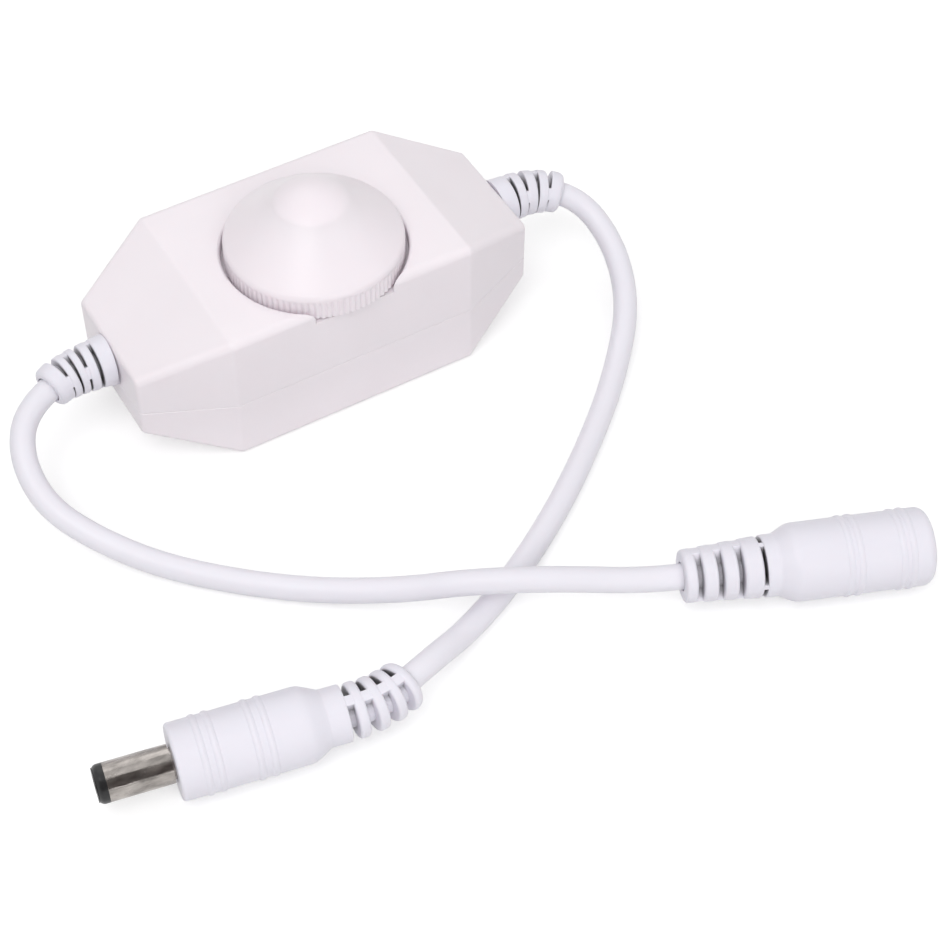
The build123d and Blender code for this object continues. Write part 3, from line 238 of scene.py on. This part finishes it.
def add_knob_face():
    """Ribbed rim and smooth cone over the knob's solid, rounded into each other as moulded."""
    outside, inside = knob_profile()
    profile = outside + inside
    around = RIBS * RIB_STEPS
    points = []
    for turn in range(around):
        angle = 2 * math.pi * turn / around
        groove = (0.5 - 0.5 * math.cos(angle * RIBS)) ** 2
        for step, (radius, height) in enumerate(profile):
            fade = min(max((RIB_TOP - height) / RIB_RUN_OUT, 0), 1) if step < len(outside) else 0
            ribbed = radius - RIB_DEPTH * groove * fade
            x = KNOB_AXIS[0] + ribbed * math.cos(angle)
            y = KNOB_AXIS[1] + ribbed * math.sin(angle)
            points.append(Vector((x, y, height)) * MM)
    count = len(profile)
    faces = []
    for turn in range(around):
        here, there = turn * count, (turn + 1) % around * count
        for step in range(count):
            after = (step + 1) % count
            faces.append((here + step, there + step, there + after, here + after))
    mesh = bpy.data.meshes.new("knob_face")
    mesh.from_pydata(points, [], faces)
    mesh.shade_smooth()
    mesh.set_sharp_from_angle(angle=math.radians(40))
    face = bpy.data.objects.new("knob_face", mesh)
    bpy.context.scene.collection.objects.link(face)
    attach(face, "knob")
    return face


def map_range(tree, value, source, target):
    """Value mapped from one span to another, and held within it."""
    span = tree.nodes.new("ShaderNodeMapRange")
    span.inputs["From Min"].default_value, span.inputs["From Max"].default_value = source
    span.inputs["To Min"].default_value, span.inputs["To Max"].default_value = target
    tree.links.new(value, span.inputs["Value"])
    return span.outputs["Result"]


class Shader:
    """A material with a principled shader, and short calls for the nodes that feed it."""

    def __init__(self, name, colour, roughness, metallic=0.0):
        self.material = bpy.data.materials.new(name)
        self.material.use_nodes = True
        self.tree = self.material.node_tree
        self.surface = self.tree.nodes["Principled BSDF"]
        self.colour = colour
        self.roughness = roughness
        self.surface.inputs["Base Color"].default_value = (*colour, 1)
        self.surface.inputs["Roughness"].default_value = roughness
        self.surface.inputs["Metallic"].default_value = metallic
        self.coordinates = self.tree.nodes.new("ShaderNodeTexCoord")

    def place(self, scale=(1, 1, 1), turn=0.0):
        mapping = self.tree.nodes.new("ShaderNodeMapping")
        mapping.inputs["Scale"].default_value = scale
        mapping.inputs["Rotation"].default_value = (0, 0, turn)
        self.tree.links.new(self.coordinates.outputs["Object"], mapping.inputs["Vector"])
        return mapping.outputs["Vector"]

    def noise(self, size, detail=3.0, place=None):
        """Noise whose patches are about size across."""
        noise = self.tree.nodes.new("ShaderNodeTexNoise")
        noise.inputs["Scale"].default_value = 1 / size
        noise.inputs["Detail"].default_value = detail
        source = place if place else self.coordinates.outputs["Object"]
        self.tree.links.new(source, noise.inputs["Vector"])
        return noise.outputs["Fac"]

    def spread(self, value, low, high):
        """Noise's middle range, mapped to lie between low and high."""
        return map_range(self.tree, value, (0.3, 0.7), (low, high))

    def vary_roughness(self, value, amount):
        result = self.spread(value, self.roughness - amount, self.roughness + amount)
        self.tree.links.new(result, self.surface.inputs["Roughness"])

    def vary_colour(self, value, other):
        mix = self.tree.nodes.new("ShaderNodeMix")
        mix.data_type = "RGBA"
        mix.inputs["A"].default_value = (*self.colour, 1)
        mix.inputs["B"].default_value = (*other, 1)
        self.tree.links.new(self.spread(value, 0, 1), mix.inputs["Factor"])
        self.tree.links.new(mix.outputs["Result"], self.surface.inputs["Base Color"])

    def paint_slot_shade(self, depth):
        """Paints shade into the surface's own slots and grooves, where a wall is nearer than
        depth.
        """
        hollow = self.tree.nodes.new("ShaderNodeAmbientOcclusion")
        hollow.only_local = True
        hollow.samples = 8
        hollow.inputs["Distance"].default_value = depth
        amount = map_range(self.tree, hollow.outputs["AO"], (0.15, 0.6), (1.0, 0.0))
        mix = self.tree.nodes.new("ShaderNodeMix")
        mix.data_type = "RGBA"
        mix.inputs["B"].default_value = (*SLOT_SHADE, 1)
        painted = self.surface.inputs["Base Color"].links[0].from_socket
        self.tree.links.new(painted, mix.inputs["A"])
        self.tree.links.new(amount, mix.inputs["Factor"])
        self.tree.links.new(mix.outputs["Result"], self.surface.inputs["Base Color"])

    def bump(self, value, depth):
        bump = self.tree.nodes.new("ShaderNodeBump")
        bump.inputs["Distance"].default_value = depth
        self.tree.links.new(value, bump.inputs["Height"])
        self.tree.links.new(bump.outputs["Normal"], self.surface.inputs["Normal"])


def moulded(name, colour, roughness, grain, depth, soft=0.0, shade_slots=False):
    """Moulded plastic: fine surface grain, faint flow marks and uneven gloss."""
    shader = Shader(name, colour, roughness)
    flow = shader.noise(0.018, 2.0)
    fine = shader.noise(grain, 4.0)
    shader.vary_colour(flow, tuple(0.975 * part for part in colour))
    # Painted shade: darker in the slots and grooves, where walls are near
    if shade_slots:
        shader.paint_slot_shade(0.0012)
    shader.vary_roughness(shader.noise(0.006, 3.0), 0.05)
    shader.bump(fine, depth)
    shader.surface.inputs["Subsurface Weight"].default_value = soft
    shader.surface.inputs["Subsurface Radius"].default_value = (1.0, 0.8, 0.8)
    shader.surface.inputs["Subsurface Scale"].default_value = 0.0012
    return shader.material


def drawn_metal(name, colour, roughness, along):
    """Metal drawn or turned, with fine lines along one heading, and scuffs and stains from use."""
    shader = Shader(name, colour, roughness, metallic=1.0)
    lines = shader.noise(0.0004, 4.0, shader.place((0.04, 1, 1), turn=-along))
    scuffs = shader.noise(0.0011, 6.0, shader.place((0.35, 1, 1), turn=-along))
    stains = shader.noise(0.0013, 6.0, shader.place((0.4, 1, 1), turn=-along))
    shader.vary_roughness(scuffs, 0.13)
    shader.vary_colour(stains, tuple(0.4 * part for part in colour))
    shader.bump(lines, 0.000012)
    return shader.material


def plain_grain(name, colour, roughness, metallic=0.0):
    """Small inner parts: slight unevenness in colour and gloss."""
    shader = Shader(name, colour, roughness, metallic)
    shader.vary_colour(shader.noise(0.002), tuple(0.8 * part for part in colour))
    shader.vary_roughness(shader.noise(0.001), 0.06)
    return shader.material


def make_materials():
    """Every material by the name of its slot."""
    makers = ((moulded, MOULDED), (drawn_metal, DRAWN_METALS), (plain_grain, PLAIN_GRAINS))
    return {name: make(name, *facts) for make, table in makers for name, facts in table.items()}


def dress(cords, knob_face):
    """Gives every CAD node, every cord and the knob's face the material of its slot."""
    materials = make_materials()
    for part in frame["record"]["subparts"]:
        piece = nodes[part["node"]]
        piece.data.materials.clear()
        piece.data.materials.append(materials[part["material_slot"]])
    for cord in cords:
        cord.data.materials.append(materials["cord_jacket"])
    knob_face.data.materials.append(materials["knob_plastic"])


def seen_directly(tree):
    """1 for what the camera, a reflection or a clear piece sees, and 0 for light on the object."""
    path = tree.nodes.new("ShaderNodeLightPath")
    seen = path.outputs["Is Camera Ray"]
    for ray in ("Is Glossy Ray", "Is Transmission Ray"):
        either = tree.nodes.new("ShaderNodeMath")
        either.operation = "MAXIMUM"
        tree.links.new(seen, either.inputs[0])
        tree.links.new(path.outputs[ray], either.inputs[1])
        seen = either.outputs["Value"]
    return seen


def add_stage_sheet(name, corners, material):
    """Flat piece of the studio, which isn't part of the object."""
    mesh = bpy.data.meshes.new(name)
    mesh.from_pydata(corners, [], [(0, 1, 2, 3)])
    mesh.materials.append(material)
    sheet = bpy.data.objects.new(name, mesh)
    bpy.context.scene.collection.objects.link(sheet)
    return sheet


def corners_of(width, depth):
    """Corners of a flat rectangle round the origin."""
    x, y = width / 2, depth / 2
    return [Vector((-x, -y, 0)), Vector((x, -y, 0)), Vector((x, y, 0)), Vector((-x, y, 0))]


def add_floor():
    """Pale floor that runs on past the view, and keeps the object's shadow."""
    shader = Shader("floor", FLOOR_COLOUR, 0.9)
    glow = shader.tree.nodes.new("ShaderNodeMath")
    glow.operation = "MULTIPLY"
    glow.inputs[1].default_value = FLOOR_GLOW
    shader.tree.links.new(seen_directly(shader.tree), glow.inputs[0])
    shader.tree.links.new(glow.outputs["Value"], shader.surface.inputs["Emission Strength"])
    shader.surface.inputs["Emission Color"].default_value = (1, 1, 1, 1)
    add_stage_sheet("floor", corners_of(2 * FLOOR_REACH, 2 * FLOOR_REACH), shader.material)


def add_dark_card():
    """Dark card beside the camera, which only gloss sees, so that bright metal has contrast."""
    turn = (LIGHT_AIM - CARD_PLACE).to_track_quat("Z", "Y").to_matrix().to_4x4()
    corners = [turn @ corner + CARD_PLACE for corner in corners_of(*CARD_SIZE)]
    card = add_stage_sheet("dark_card", corners, Shader("dark_card", CARD_COLOUR, 1.0).material)
    card.visible_camera = False
    card.visible_diffuse = False
    card.visible_shadow = False


def add_light(name, place, size, energy):
    light = bpy.data.lights.new(name, "AREA")
    light.shape = "DISK"
    light.size = size
    light.energy = energy
    lamp = bpy.data.objects.new(name, light)
    turn = (LIGHT_AIM - Vector(place)).to_track_quat("-Z", "Y")
    lamp.matrix_world = Matrix.Translation(Vector(place)) @ turn.to_matrix().to_4x4()
    bpy.context.scene.collection.objects.link(lamp)


def add_sky():
    """Soft light from all round, bright overhead and dim towards the horizon."""
    world = bpy.data.worlds.new("studio")
    world.use_nodes = True
    tree = world.node_tree
    sky = tree.nodes["Background"]
    sky.inputs["Color"].default_value = (1, 1, 1, 1)
    coordinates = tree.nodes.new("ShaderNodeTexCoord")
    split = tree.nodes.new("ShaderNodeSeparateXYZ")
    tree.links.new(coordinates.outputs["Generated"], split.inputs["Vector"])
    shown = tree.nodes.new("ShaderNodeMath")
    shown.operation = "MAXIMUM"
    tree.links.new(map_range(tree, split.outputs["Z"], SKY_RISE, SKY_STRENGTH), shown.inputs[0])
    tree.links.new(seen_directly(tree), shown.inputs[1])
    tree.links.new(shown.outputs["Value"], sky.inputs["Strength"])
    bpy.context.scene.world = world


add_camera()
cords = add_cords()
knob_face = add_knob_face()
dress(cords, knob_face)
add_floor()
add_dark_card()
for light in LIGHTS:
    add_light(*light)
add_sky()
bpy.context.scene.view_settings.view_transform = "Standard"
